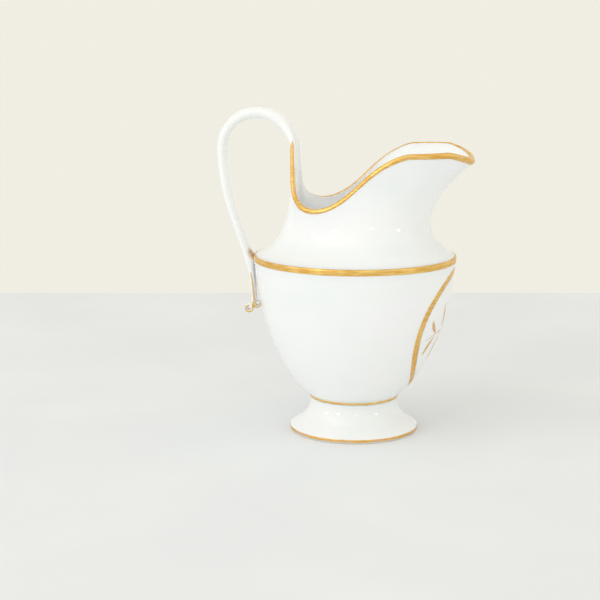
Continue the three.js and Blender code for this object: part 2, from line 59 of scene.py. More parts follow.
WALL = 2.5
SHOULDER_RADIUS = 49.6
SHOULDER_HEIGHT = 87.8
SHOULDER_EDGE = 3.0
SEAM_WIDTH = 5.5
WAIST_RADIUS = 22.1
WAIST_HEIGHT = 16.6
FOOT_RADIUS = 31.7
FOOT_EDGE_HEIGHT = 2.4
FOOT_STEM_RADIUS = 21.7
FOOT_WALL = 3.4
BOWL_WALL = 3.0
BOWL_FLOOR = 4.0

SPOUT_REACH = 57.5
SPOUT_TIP_HEIGHT = 134.0
SPOUT_CREST_HEIGHT = 140.6
LIP_LOW_HEIGHT = 112.3
LIP_HALF_WIDTH = 33.0
TONGUE_RADIUS = 31.3
SPOUT_SPREADS = (0, 1.9, 1.0, -4.4)
LIP_SIDE_SPREADS = (11.9, 5.0, 0.8, 0.3, 1.6, 2.7)
TONGUE_SPREADS = (2.5, 0, 0)
SPOUT_RISES = (0, 0.1, 0.6, 1)
LIP_SIDE_RISES = (0.91, 0.65, 0.33, 0.1, 0)
TONGUE_RISES = (0.06, 0.35, 1.4, 1.9)
NECK_ROOT_RADII = (30.8, 30, 31)
NECK_ROOT_RISES = (5.9, 7.2, 9.2)
THROAT_RADII = (31, 30.5, 33.5)
THROAT_SHARE = 0.58

HANDLE_REACH = 67.6
HANDLE_TOP = 159.6
LOOP_THICKNESS = 5.8
LEG_THICKNESS = 4.6
TAIL_END_HEIGHT = 64.0

TONGUE_MIDDLE = TONGUE_RADIUS - WALL / 2
LOOP_RADIUS = (HANDLE_REACH - LEG_THICKNESS / 2 - TONGUE_MIDDLE) / 2
LOOP_HEIGHT = HANDLE_TOP - LOOP_THICKNESS / 2 - LOOP_RADIUS
TONGUE_TOP = LOOP_HEIGHT


# ---- Tools for shapes ----

def mix(a, b, share):
    return a + (b - a) * share


def ease(value, low, high):
    share = np.clip((np.asarray(value, float) - low) / (high - low), 0, 1)
    return share * share * (3 - 2 * share)


def unit(vectors):
    vectors = np.asarray(vectors, float)
    return vectors / np.maximum(np.linalg.norm(vectors, axis=-1, keepdims=True), 1e-12)


def bezier(controls, share):
    """Points on a cubic curve. Each control is a number or an array that goes with `share`."""
    p, q, r, s = controls
    t = np.asarray(share, float)
    u = 1 - t
    return u ** 3 * p + 3 * u * u * t * q + 3 * u * t * t * r + t ** 3 * s


def bezier_line(controls, count):
    share = np.linspace(0, 1, count)[:, None]
    return bezier([np.array(c, float) for c in controls], share)


def around(angle, radius, height):
    angle, radius, height = np.broadcast_arrays(angle, radius, height)
    return np.stack([radius * np.cos(angle), radius * np.sin(angle), height], axis=-1)


def wander(place, seed, roughness=4):
    """A smooth hand-made unevenness, about -1 to 1, that closes on itself once round."""
    place = np.asarray(place, float)
    total = np.zeros_like(place)
    for k in range(1, roughness + 1):
        total += math.sin(seed * 12.9 + k * 4.1) * np.sin(k * place + seed * 7.3 + k * k) / k
        total += 0.5 * np.cos((k + roughness) * place + seed * 3.7 + k) / (k + roughness)
    return total / 1.6


def place(points):
    return (np.asarray(points, float) + np.array([AXIS_X, 0, 0])) * MM


def piece(name, points, faces, finish, nodes, slot):
    """A closed piece of the jug from points in millimetres. It stands for the given CAD nodes."""
    mesh = bpy.data.meshes.new(name)
    mesh.from_pydata(place(points).tolist(), [], faces)
    tidy = bmesh.new()
    tidy.from_mesh(mesh)
    bmesh.ops.remove_doubles(tidy, verts=tidy.verts, dist=1e-7)
    bmesh.ops.recalc_face_normals(tidy, faces=tidy.faces)
    if tidy.calc_volume(signed=True) < 0:
        bmesh.ops.reverse_faces(tidy, faces=tidy.faces)
    tidy.to_mesh(mesh)
    tidy.free()
    for polygon in mesh.polygons:
        polygon.use_smooth = True
    made = bpy.data.objects.new(name, mesh)
    bpy.context.scene.collection.objects.link(made)
    mesh.materials.append(finish)
    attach(made, "root")
    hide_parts(*nodes)
    return made


def grid_faces(rows, columns, close_rows=False, close_columns=False, start=0):
    """Four-sided faces over a grid of points numbered row by row."""
    faces = []
    for i in range(rows if close_rows else rows - 1):
        for j in range(columns if close_columns else columns - 1):
            i2, j2 = (i + 1) % rows, (j + 1) % columns
            faces.append([start + i * columns + j, start + i * columns + j2,
                          start + i2 * columns + j2, start + i2 * columns + j])
    return faces


def cap(ring):
    """Faces that close a ring of point numbers, from each side of it to the other."""
    ring = list(ring)
    faces = []
    low, high = 0, len(ring) - 1
    while high - low > 2:
        faces.append([ring[low], ring[low + 1], ring[high - 1], ring[high]])
        low, high = low + 1, high - 1
    if high - low == 2:
        faces.append([ring[low], ring[low + 1], ring[high]])
    return faces


def turned(outline, angles):
    """Points and faces of a piece turned on the wheel, from a closed outline of radius and height."""
    outline = np.asarray(outline, float)
    points = around(np.asarray(angles)[:, None], outline[None, :, 0], outline[None, :, 1])
    faces = grid_faces(len(angles), len(outline), close_rows=True, close_columns=True)
    return points.reshape(-1, 3), faces


def rounded(corners, spacing=0.9):
    """An outline through [radius, height, rounding] corners, filled in with points."""
    corners = [np.array(c[:2], float) for c in corners], [c[2] if len(c) > 2 else 0 for c in corners]
    places, roundings = corners
    line = []
    for k, here in enumerate(places):
        before, after = places[k - 1], places[(k + 1) % len(places)]
        if roundings[k] and 0 < k < len(places) - 1:
            inward, outward = unit(before - here), unit(after - here)
            turn = math.acos(np.clip(inward @ outward, -1, 1))
            reach = roundings[k] / math.tan(turn / 2)
            start, end = here + inward * reach, here + outward * reach
            centre = here + unit(inward + outward) * (roundings[k] / math.sin(turn / 2))
            for share in np.linspace(0, 1, 7):
                chord = mix(start, end, share) - centre
                line.append(centre + unit(chord) * roundings[k])
        else:
            line.append(here)
    filled = [line[0]]
    for point in line[1:]:
        gap = np.linalg.norm(point - filled[-1])
        if gap < 1e-4:
            continue
        count = max(1, int(math.ceil(gap / spacing)))
        begin = filled[-1]
        for step in range(1, count + 1):
            filled.append(mix(begin, point, step / count))
    return np.array(filled)


# ---- Finishes ----

class Wire:
    """A value in a finish that is worked with like a number."""

    def __init__(self, finish, socket):
        self.finish = finish
        self.socket = socket

    def maths(self, operation, *values, clamp=False):
        settings = {"operation": operation, "use_clamp": clamp}
        return self.finish.add("ShaderNodeMath", settings, dict(enumerate(values)))

    def __add__(self, other):
        return self.maths("ADD", self, other)

    def __radd__(self, other):
        return self.maths("ADD", other, self)

    def __sub__(self, other):
        return self.maths("SUBTRACT", self, other)

    def __rsub__(self, other):
        return self.maths("SUBTRACT", other, self)

    def __mul__(self, other):
        return self.maths("MULTIPLY", self, other)

    def __rmul__(self, other):
        return self.maths("MULTIPLY", other, self)

    def __truediv__(self, other):
        return self.maths("DIVIDE", self, other)

    def __pow__(self, other):
        return self.maths("POWER", self, other)


class Finish:
    """A material on the jug or under it, with one way to add any node."""

    def __init__(self, name):
        self.material = bpy.data.materials.new(name)
        self.material.use_nodes = True
        self.tree = self.material.node_tree
        self.tree.nodes.clear()

    def add(self, kind, settings=None, inputs=None, output=0):
        node = self.tree.nodes.new(kind)
        for name, value in (settings or {}).items():
            setattr(node, name, value)
        for name, value in (inputs or {}).items():
            if isinstance(value, Wire):
                self.tree.links.new(value.socket, node.inputs[name])
            else:
                node.inputs[name].default_value = value
        return Wire(self, node.outputs[output])

    def where(self):
        """The place on the jug, in millimetres."""
        coordinates = self.add("ShaderNodeTexCoord", output="Object")
        return self.add("ShaderNodeVectorMath", {"operation": "SCALE"}, {0: coordinates, "Scale": 1 / MM})

    def split(self, vector):
        node = self.add("ShaderNodeSeparateXYZ", inputs={0: vector}).socket.node
        return [Wire(self, node.outputs[k]) for k in range(3)]

    def join(self, x, y, z):
        return self.add("ShaderNodeCombineXYZ", inputs={0: x, 1: y, 2: z})

    def stretch(self, vector, shares):
        return self.add("ShaderNodeVectorMath", {"operation": "MULTIPLY"}, {0: vector, 1: shares})

    def noise(self, vector, size, detail=2.0, roughness=0.5):
        """Soft clouds, from 0 to 1, about `size` millimetres across."""
        inputs = {"Vector": vector, "Scale": 1 / size, "Detail": detail, "Roughness": roughness}
        return self.add("ShaderNodeTexNoise", None, inputs)

    def ramp(self, value, low, high, start=0.0, end=1.0):
        inputs = {"Value": value, "From Min": low, "From Max": high, "To Min": start, "To Max": end}
        return self.add("ShaderNodeMapRange", {"interpolation_type": "SMOOTHSTEP"}, inputs)

    def blend(self, share, first, second):
        """From the first colour to the second by a share."""
        inputs = {"Factor": share, 6: first, 7: second}
        return self.add("ShaderNodeMix", {"data_type": "RGBA"}, inputs, output=2)

    def distance(self, vector, centre):
        inputs = {0: vector, 1: centre}
        return self.add("ShaderNodeVectorMath", {"operation": "DISTANCE"}, inputs, output="Value")

    def bump(self, height, strength, distance=0.1):
        inputs = {"Height": height, "Strength": strength, "Distance": distance * MM}
        return self.add("ShaderNodeBump", None, inputs)

    def done(self, surface):
        output = self.tree.nodes.new("ShaderNodeOutputMaterial")
        self.tree.links.new(surface.socket, output.inputs["Surface"])
        return self.material


def colour(red, green, blue):
    """A paint colour given the way a colour chart prints it, 0 to 255."""
    def plain(value):
        value /= 255
        return value / 12.92 if value <= 0.04045 else ((value + 0.055) / 1.055) ** 2.4
    return (plain(red), plain(green), plain(blue), 1.0)


GLAZE_WHITE = colour(246, 248, 252)
GLAZE_POOLED = colour(237, 243, 243)
GLAZE_WARM = colour(247, 248, 249)
IRON_SPECK = colour(112, 88, 62)
BARE_CLAY = colour(214, 208, 196)
GOLD_BRIGHT = colour(250, 214, 132)
GOLD_DEEP = colour(226, 172, 84)
GOLD_THIN = colour(222, 176, 140)
GOLD_SMEAR = colour(186, 138, 70)
# Heights where the glaze gathers, and where the gold smear sits on the handle's landing.
WAIST_POOL = 18.5
SHOULDER_POOL = 93
SMEAR_OUT = 50.6
SMEAR_SIDE = -2.6
SMEAR_HEIGHT = 88.6
SMEAR_STRETCH = (1, 0.6, 0.62)
SPECK_SPACING = 0.11


def porcelain(name, bare_below=None, smear_at=None):
    """Clear glaze over white clay: soft clouds of tint, a faintly wavy skin and a few iron specks."""
    glaze = Finish(name)
    where = glaze.where()
    _, _, z = glaze.split(where)
    cloud = glaze.noise(where, 38, 2)
    warm = glaze.noise(where, 90, 1)
    pooled = glaze.ramp(cloud, 0.42, 0.72)
    # Glaze runs down and gathers where a wall turns in: over the foot, at the waist and on the shoulder.
    from_waist = glaze.add("ShaderNodeMath", {"operation": "ABSOLUTE"}, {0: z - WAIST_POOL})
    waist = 1 - glaze.ramp(from_waist, 1.0, 7.0)
    from_shoulder = glaze.add("ShaderNodeMath", {"operation": "ABSOLUTE"}, {0: z - SHOULDER_POOL})
    shoulder = 1 - glaze.ramp(from_shoulder, 1.0, 9.0)
    gathered = glaze.add("ShaderNodeMath", {"operation": "MAXIMUM"}, {0: waist, 1: shoulder})
    tint = glaze.blend(glaze.ramp(warm, 0.4, 0.7), GLAZE_WHITE, GLAZE_WARM)
    tint = glaze.blend(pooled * 0.55 + gathered * 0.4, tint, GLAZE_POOLED)
    speckled = glaze.add(
        "ShaderNodeTexVoronoi", {"feature": "F1"},
        {"Vector": where, "Scale": SPECK_SPACING, "Randomness": 1.0}, output="Distance",
    )
    speck_size = glaze.add(
        "ShaderNodeTexVoronoi", {"feature": "F1"},
        {"Vector": where, "Scale": SPECK_SPACING, "Randomness": 1.0}, output="Color",
    )
    chance, _, spread = glaze.split(speck_size)
    rare = glaze.add("ShaderNodeMath", {"operation": "GREATER_THAN"}, {0: chance, 1: 0.83})
    speck = (1 - glaze.ramp(speckled, 0.008, 0.03)) * rare * (spread * 0.6 + 0.1)
    tint = glaze.blend(speck, tint, IRON_SPECK)
    orange_peel = glaze.noise(where, 2.6, 2)
    wave = glaze.noise(where, 17, 1)
    gloss = glaze.noise(where, 6, 3) * 0.05 + 0.07 + speck * 0.2
    metal = 0.0
    if smear_at:
        fray = glaze.noise(where, 1.4, 3) * 2.4
        reach = glaze.distance(glaze.stretch(where, SMEAR_STRETCH), smear_at)
        smear = (1 - glaze.ramp(reach + fray, 1.5, 3.9)) * 0.85
        tint = glaze.blend(smear, tint, GOLD_SMEAR)
        metal = smear * 0.5
        gloss = gloss + smear * 0.2
    if bare_below is not None:
        edge = z + glaze.noise(where, 2, 2) * 0.25
        bare = 1 - glaze.ramp(edge, bare_below, bare_below + 0.12)
        dust = glaze.noise(where, 1.6, 3) * 0.5
        tint = glaze.blend(bare * (dust + 0.7), tint, BARE_CLAY)
        gloss = gloss + bare * 0.6
    skin = glaze.bump(wave * 0.9 + orange_peel * 0.1, 0.5, 0.16)
    surface = glaze.add("ShaderNodeBsdfPrincipled", None, {
        "Base Color": tint,
        "Roughness": gloss,
        "Metallic": metal,
        "IOR": 1.5,
        "Normal": skin,
        "Subsurface Weight": 0.3,
        "Subsurface Radius": (1.0, 0.97, 0.9),
        "Subsurface Scale": 3 * MM,
    })
    return glaze.done(surface)


def gilding(name, wear=0.0, thin=0.0):
    """Fired gold rubbed with agate: brush streaks along the line, and places worn down to a pink haze."""
    gold = Finish(name)
    where = gold.where()
    x, y, z = gold.split(where)
    from_axis = x - AXIS_X
    turn = gold.add("ShaderNodeMath", {"operation": "ARCTAN2"}, {0: y, 1: from_axis})
    streaks = gold.noise(gold.join(turn * 9, z * 2.6, from_axis * 0.05), 1.3, 3)
    patches = gold.noise(where, 7.5, 2)
    grain = gold.noise(where, 0.55, 2)
    tint = gold.blend(gold.ramp(streaks * 0.7 + patches * 0.3, 0.36, 0.66), GOLD_DEEP, GOLD_BRIGHT)
    rubbed = gold.ramp(patches * 0.65 + grain * 0.35 + wear, 0.62, 0.78)
    hazy = gold.add("ShaderNodeMath", {"operation": "MAXIMUM"}, {0: rubbed, 1: thin})
    tint = gold.blend(hazy, tint, GOLD_THIN)
    shine = 1 - hazy * 0.85
    gloss = 0.2 + grain * 0.16 + streaks * 0.08
    brushed = gold.bump(streaks * 0.7 + grain * 0.3, 0.55, 0.05)
    surface = gold.add("ShaderNodeBsdfPrincipled", None, {
        "Base Color": tint,
        "Roughness": gloss,
        "Metallic": shine,
        "IOR": 1.5,
        "Normal": brushed,
    })
    return gold.done(surface)


BODY_GLAZE = porcelain("clear_glaze")
FOOT_GLAZE = porcelain("clear_glaze_on_the_foot", bare_below=0.35)
HANDLE_GLAZE = porcelain("clear_glaze_on_the_handle", smear_at=(
    AXIS_X - SMEAR_OUT, SMEAR_STRETCH[1] * SMEAR_SIDE, SMEAR_STRETCH[2] * SMEAR_HEIGHT,
))
BAND_GOLD = gilding("burnished_gold", wear=0.02)
LIP_GOLD = gilding("burnished_gold_on_the_lip", wear=0.1)
FOOT_GOLD = gilding("rubbed_gold_on_the_foot", wear=0.16)
WORN_GOLD = gilding("worn_gold", wear=0.12, thin=0.35)


# ---- Angles round the jug: close together where the lip climbs the tongue ----

lip_radii = (
    [SPOUT_REACH + step for step in SPOUT_SPREADS]
    + [LIP_HALF_WIDTH + step for step in LIP_SIDE_SPREADS]
    + [TONGUE_RADIUS + step for step in TONGUE_SPREADS]
)
lip_heights = (
    [mix(SPOUT_TIP_HEIGHT, SPOUT_CREST_HEIGHT, share) for share in SPOUT_RISES]
    + [mix(LIP_LOW_HEIGHT, SPOUT_CREST_HEIGHT, share) for share in LIP_SIDE_RISES]
    + [mix(LIP_LOW_HEIGHT, TONGUE_TOP, share) for share in TONGUE_RISES]
)


def through(values, angle):
    """A curve through a list that runs from angle 0 to a half turn and mirrors on both sides."""
    last = len(values) - 1
    folded = np.abs(np.arctan2(np.sin(angle), np.cos(angle)))
    where = folded / math.pi * last
    cell = np.minimum(np.floor(where), last - 1).astype(int)
    table = np.array([values[1], *values, values[-2], values[-3]], float)
    p, q, r, s = (table[cell + k] for k in range(4))
    t = where - cell
    return q + 0.5 * t * (r - p + t * (2 * p - 5 * q + 4 * r - s + t * (3 * (q - r) + s - p)))


def round_the_lip(values, angle):
    """The same curve with its bends evened out, as a thumb runs round the wet clay."""
    offsets = np.radians([-9, -6, -3, 0, 3, 6, 9])
    weights = (1, 2, 3, 4, 3, 2, 1)
    return sum(w * through(values, angle + o) for w, o in zip(weights, offsets)) / sum(weights)


def round_the_neck(angle, back, side, front):
    forward = np.cos(angle)
    return mix(side, np.where(forward > 0, front, back), np.abs(forward) ** 1.5)


def tongue_edge():
    low, high = math.radians(150), math.radians(165)
    for _ in range(40):
        middle = (low + high) / 2
        if round_the_lip(lip_heights, middle) < TONGUE_TOP:
            low = middle
        else:
            high = middle
    return (low + high) / 2


EDGE_ANGLE = tongue_edge()
half_lip = np.concatenate([
    np.linspace(0, math.radians(128), 96, endpoint=False),
    np.linspace(math.radians(128), EDGE_ANGLE, 52),
])
half_tongue = np.linspace(EDGE_ANGLE, math.pi, 17)[1:]
lip_angles = np.concatenate([-half_lip[:0:-1], half_lip])
tongue_angles = np.concatenate([half_tongue, 2 * math.pi - half_tongue[-2::-1]])
all_angles = np.concatenate([lip_angles, tongue_angles])
LIP_COUNT = len(lip_angles)
TONGUE_COUNT = len(tongue_angles)


# ---- Foot ----

stem_rise = WAIST_HEIGHT - FOOT_EDGE_HEIGHT
flare = bezier_line([
    (FOOT_RADIUS - 0.25, FOOT_EDGE_HEIGHT + 0.15),
    (mix(FOOT_RADIUS, FOOT_STEM_RADIUS, 0.5), FOOT_EDGE_HEIGHT + 0.24 * stem_rise),
    (FOOT_STEM_RADIUS, FOOT_EDGE_HEIGHT + 0.36 * stem_rise),
    (FOOT_STEM_RADIUS, WAIST_HEIGHT),
], 34)
foot_outline = rounded([
    (FOOT_RADIUS - FOOT_WALL, 0.5),
    (FOOT_RADIUS - FOOT_WALL + 0.6, 0, 0.3),
    (FOOT_RADIUS - 0.55, 0, 0.3),
    (FOOT_RADIUS, 0.55, 0.4),
    (FOOT_RADIUS, FOOT_EDGE_HEIGHT - 0.1, 0.4),
    *[tuple(p) for p in flare[1:]],
    *[(p[0] - FOOT_WALL, p[1]) for p in flare[:0:-1]],
    (FOOT_RADIUS - FOOT_WALL, 0.5),
])[:-1]
piece("foot_ring", *turned(foot_outline, all_angles), FOOT_GLAZE, ["foot"], "porcelain")


# ---- Bowl ----

EDGE_BOTTOM = SHOULDER_HEIGHT - SHOULDER_EDGE
bowl_controls = [
    (WAIST_RADIUS, WAIST_HEIGHT + 1.4),
    (WAIST_RADIUS + 9, WAIST_HEIGHT + 7.4),
    (SHOULDER_RADIUS - 2.5, mix(WAIST_HEIGHT, SHOULDER_HEIGHT, 0.44)),
    (SHOULDER_RADIUS - 0.5, EDGE_BOTTOM - 0.5),
]
bowl_line = bezier_line(bowl_controls, 90)
bowl_slope = unit(np.gradient(bowl_line, axis=0))
bowl_inside = bowl_line - np.stack([bowl_slope[:, 1], -bowl_slope[:, 0]], axis=-1) * BOWL_WALL
bowl_floor = WAIST_HEIGHT + BOWL_FLOOR
bowl_hollow = bezier_line([
    (0.0, bowl_floor),
    (WAIST_RADIUS - 6, bowl_floor),
    (bowl_inside[16][0] - 4.6, bowl_inside[16][1] - 3.4),
    tuple(bowl_inside[16]),
], 26)
SEAM_RADIUS = SHOULDER_RADIUS - SEAM_WIDTH
EDGE_ROUNDING = 0.45
bowl_outline = rounded([
    (0.02, WAIST_HEIGHT + 0.6),
    (WAIST_RADIUS - 4.6, WAIST_HEIGHT + 0.1),
    (WAIST_RADIUS - 0.15, WAIST_HEIGHT),
    *[tuple(p) for p in bowl_line[:-2]],
    (SHOULDER_RADIUS, EDGE_BOTTOM, 0.3),
    (SHOULDER_RADIUS, SHOULDER_HEIGHT, EDGE_ROUNDING),
    (SHOULDER_RADIUS - EDGE_ROUNDING * 1.4, SHOULDER_HEIGHT),
    (SEAM_RADIUS, SHOULDER_HEIGHT),
    *[tuple(p) for p in bowl_inside[-2:16:-1]],
    *[tuple(p) for p in bowl_hollow[::-1][:-1]],
    (0.02, bowl_floor),
])
bowl_points, bowl_faces = turned(bowl_outline, all_angles)
bowl = piece("bowl_wall", bowl_points, bowl_faces, BODY_GLAZE, ["bowl"], "porcelain")


# ---- Neck, lip, tongue and handle: one skin ----

OUTER_ROWS = 46
ROUND_STEPS = 13

outside_radius = round_the_lip(lip_radii, all_angles)
crown_height = np.minimum(round_the_lip(lip_heights, all_angles), TONGUE_TOP)
crown_edge = around(all_angles, outside_radius, crown_height)
throat_radius = round_the_neck(all_angles, *THROAT_RADII)
throat_height = mix(SHOULDER_HEIGHT, crown_height, THROAT_SHARE)
upward = unit(crown_edge - around(all_angles, throat_radius, throat_height))

lip_edge = crown_edge[:LIP_COUNT]
along = unit(np.gradient(lip_edge, axis=0))
lip_up = upward[:LIP_COUNT]
lip_out = unit(np.cross(along, lip_up))
radial = around(lip_angles, 1.0, 0.0)
lip_out *= np.sign(np.sum(lip_out * radial, axis=1))[:, None]
# Where the lip climbs the tongue it runs almost straight up, so there the wall faces straight out.
steep = ease(np.abs(along[:, 2]), 0.5, 0.9)[:, None]
lip_out = unit(mix(lip_out, radial, steep))
lip_out = unit(lip_out - along * np.sum(lip_out * along, axis=1)[:, None])
lip_off = unit(np.cross(lip_out, along))
lip_off *= np.sign(np.sum(lip_off * lip_up, axis=1))[:, None]
ROUND = WALL / 2
edge_outside = lip_edge - ROUND * lip_off
edge_centre = edge_outside - ROUND * lip_out
TONGUE_BASE = edge_outside[-1][2]

edge_turn = math.atan2(edge_outside[-1][1], edge_outside[-1][0])
edge_radius = math.hypot(edge_outside[-1][0], edge_outside[-1][1])
tongue_turns = math.pi + (tongue_angles - math.pi) * (math.pi - edge_turn) / (math.pi - EDGE_ANGLE)
inward = ease(np.abs(tongue_turns - math.pi) / (math.pi - edge_turn), 0, 1)
tongue_radii = mix(outside_radius[LIP_COUNT:], edge_radius, inward)
outer_top = np.concatenate([edge_outside, around(tongue_turns, tongue_radii, TONGUE_BASE)])
top_angle = np.unwrap(np.arctan2(outer_top[:, 1], outer_top[:, 0]))
top_angle += 2 * math.pi * np.round((all_angles - top_angle) / (2 * math.pi))
top_radius = np.hypot(outer_top[:, 0], outer_top[:, 1])

root = SHOULDER_RADIUS - EDGE_ROUNDING
rows = np.linspace(0, 1, OUTER_ROWS)[:, None]
neck_radius = bezier([
    root, round_the_neck(all_angles, *NECK_ROOT_RADII), throat_radius, top_radius,
], rows)
neck_height = bezier([
    SHOULDER_HEIGHT,
    SHOULDER_HEIGHT + round_the_neck(all_angles, *NECK_ROOT_RISES),
    throat_height,
    outer_top[:, 2],
], rows)
neck_angle = bezier([all_angles, all_angles, mix(all_angles, top_angle, 0.5), top_angle], rows)
neck_outside = around(neck_angle, neck_radius, neck_height)

around_step = np.roll(neck_outside, -1, axis=1) - np.roll(neck_outside, 1, axis=1)
up_step = np.gradient(neck_outside, axis=0)
neck_out = unit(np.cross(around_step, up_step))
tongue_out = around(tongue_turns, 1.0, 0.0)
top_out = np.concatenate([lip_out, tongue_out])
settle = ease(rows, 0.86, 1.0)[:, :, None]
neck_out = unit(mix(neck_out, top_out[None], settle))
neck_inside = neck_outside - neck_out * WALL
first_inside = int(round(0.24 * (OUTER_ROWS - 1)))
seam = around(all_angles, SEAM_RADIUS, SHOULDER_HEIGHT)
inside_rows = [neck_inside[k] for k in range(OUTER_ROWS - 1, first_inside - 1, -1)]
inside_rows += [mix(inside_rows[-1], seam, 0.33), mix(inside_rows[-1], seam, 0.66), seam]
round_turns = np.linspace(0, math.pi, ROUND_STEPS + 2)[1:-1]
lip_round = np.stack([
    edge_centre + ROUND * (math.cos(t) * lip_out + math.sin(t) * lip_off) for t in round_turns
])

points = []
numbers = {}


def keep(name, block):
    """Adds a block of points to the skin and remembers their numbers."""
    block = np.asarray(block, float)
    start = sum(len(p) for p in points)
    points.append(block.reshape(-1, 3))
    numbers[name] = np.arange(start, start + block.size // 3).reshape(block.shape[:-1])
    return numbers[name]


outer_numbers = keep("outside", neck_outside)
inner_numbers = keep("inside", np.array(inside_rows))
round_numbers = keep("rounding", lip_round)
skin_faces = []


def sheet_faces(block, closed):
    """Joins a block of point numbers into faces of the skin."""
    rows_count, columns = block.shape
    for i in range(rows_count - 1):
        for j in range(columns if closed else columns - 1):
            j2 = (j + 1) % columns
            corners = block[i, j], block[i, j2], block[i + 1, j2], block[i + 1, j]
            skin_faces.append([int(n) for n in corners])


sheet_faces(outer_numbers, True)
sheet_faces(inner_numbers, True)
over_the_lip = np.vstack([
    outer_numbers[-1][:LIP_COUNT], round_numbers, inner_numbers[0][:LIP_COUNT],
])
sheet_faces(over_the_lip, False)
sheet_faces(np.vstack([inner_numbers[-1], outer_numbers[0]]), True)

# The ring where the handle takes over from the tongue: the tongue's back, its far edge, its face and
# its near edge.
tongue_columns = [LIP_COUNT - 1, *range(LIP_COUNT, LIP_COUNT + TONGUE_COUNT), 0]
back_of_tongue = [int(outer_numbers[-1][j]) for j in tongue_columns]
face_of_tongue = [int(inner_numbers[0][j]) for j in tongue_columns]
far_rounding = [int(n) for n in round_numbers[:, 0]]
near_rounding = [int(n) for n in round_numbers[:, LIP_COUNT - 1]]
base_ring = back_of_tongue + far_rounding + face_of_tongue[::-1] + near_rounding[::-1]

# The handle's centreline in the jug's middle plane.
loop_centre = np.array([-(TONGUE_MIDDLE + LOOP_RADIUS), LOOP_HEIGHT])
landing = np.array([-(SHOULDER_RADIUS + 2.92), SHOULDER_HEIGHT - SHOULDER_EDGE])
loop_left = loop_centre - [LOOP_RADIUS, 0]
loop_turns = np.linspace(0, math.pi, 60)
loop_line = loop_centre + LOOP_RADIUS * np.stack([np.cos(loop_turns), np.sin(loop_turns)], axis=-1)
loop_line = np.vstack([[loop_line[0][0], TONGUE_BASE], loop_line[1:]])
leg_line = bezier_line([
    loop_left,
    (loop_left[0], mix(SHOULDER_HEIGHT, LOOP_HEIGHT, 0.52)),
    (landing[0] - 4.6, mix(SHOULDER_HEIGHT, LOOP_HEIGHT, 0.25)),
    landing,
], 60)
tail_foot = np.array([-SHOULDER_RADIUS, TAIL_END_HEIGHT])
tail_line = bezier_line([
    landing,
    (landing[0] + 1.2, landing[1] - 4),
    (tail_foot[0] - 0.2, tail_foot[1] + 7),
    tail_foot,
], 30)
handle_line = np.vstack([loop_line, leg_line[1:], tail_line[1:]])


def evenly(line, spacing):
    """The same line with evenly spaced points, and how far along it each one is."""
    gaps = np.linalg.norm(np.diff(line, axis=0), axis=1)
    far = np.concatenate([[0], np.cumsum(gaps)])
    count = int(round(far[-1] / spacing)) + 1
    marks = np.linspace(0, far[-1], count)
    return np.stack([np.interp(marks, far, line[:, k]) for k in range(line.shape[1])], axis=-1), marks


def length_of(line):
    return float(np.linalg.norm(np.diff(line, axis=0), axis=1).sum())


LOOP_LENGTH = length_of(loop_line)
LEG_LENGTH = length_of(leg_line)
TAIL_LENGTH = length_of(tail_line)
station_line, station_marks = evenly(handle_line, 0.8)
station_slope = unit(np.gradient(station_line, axis=0))
station_centre = np.stack([station_line[:, 0], 0 * station_marks, station_line[:, 1]], axis=-1)
station_ahead = np.stack([station_slope[:, 0], 0 * station_marks, station_slope[:, 1]], axis=-1)
station_out = np.stack([station_slope[:, 1], 0 * station_marks, -station_slope[:, 0]], axis=-1)

# The strap's half width and its thickness, each from the tongue down to the end of the tail.
LEG_END = LOOP_LENGTH + LEG_LENGTH
TAIL_END = station_marks[-1]
WIDTH_MARKS = [0, 14, 26, LOOP_LENGTH, LEG_END, TAIL_END]
STRAP_HALF_WIDTHS = [9.0, 6.9, 5.9, 5.6, 4.6, 3.2]
THICKNESS_MARKS = [
    0, 10, 14, 22, 34, LOOP_LENGTH, LOOP_LENGTH + 0.7 * LEG_LENGTH, LEG_END - 4,
    LEG_END, LEG_END + 0.35 * TAIL_LENGTH, TAIL_END,
]
STRAP_THICKNESSES = [5.8, 6.7, 6.6, 6.0, 5.8, 4.6, 3.7, 4.3, 4.5, 3.1, 2.2]
strap_half = np.interp(station_marks, WIDTH_MARKS, STRAP_HALF_WIDTHS)
strap_thick = np.interp(station_marks, THICKNESS_MARKS, STRAP_THICKNESSES)


def soften(values, width):
    """A running mean that takes the corners off a list of sizes."""
    padded = np.pad(values, width, mode="edge")
    weights = np.hanning(2 * width + 1) + 1e-3
    return np.convolve(padded, weights / weights.sum(), mode="valid")


strap_half = soften(strap_half, 7)
strap_thick = soften(strap_thick, 6)
# At the shoulder the strap's inner face is pressed on with a little slip, which bulges towards the edge.
pressed = np.exp(-((station_marks - LOOP_LENGTH - LEG_LENGTH - 0.6) / 3.4) ** 2)
to_shoulder = -SHOULDER_RADIUS + 0.35 - station_centre[:, 0]
inner_thick = mix(strap_thick / 2, np.maximum(to_shoulder, strap_thick / 2), pressed)

base_points = np.concatenate(points)[base_ring]
base_local = np.stack([
    base_points[:, 1],
    base_points[:, 0] - station_centre[0][0],
    base_points[:, 2] - TONGUE_BASE,
], axis=-1)
widest = np.abs(base_local[:, 0]).max()
ring_size = len(base_ring)
far_crown = len(tongue_columns) + ROUND_STEPS // 2
near_crown = ring_size - 1 - ROUND_STEPS // 2
section_turn = 2 * math.pi * ((np.arange(ring_size) - near_crown) % ring_size) / ring_size
section_cos = np.sign(np.cos(section_turn)) * np.abs(np.cos(section_turn)) ** 0.85
section_sin = -np.sign(np.sin(section_turn)) * np.abs(np.sin(section_turn)) ** 0.92
base_slant = np.abs(along[-1][2]) / math.hypot(along[-1][0], along[-1][1])

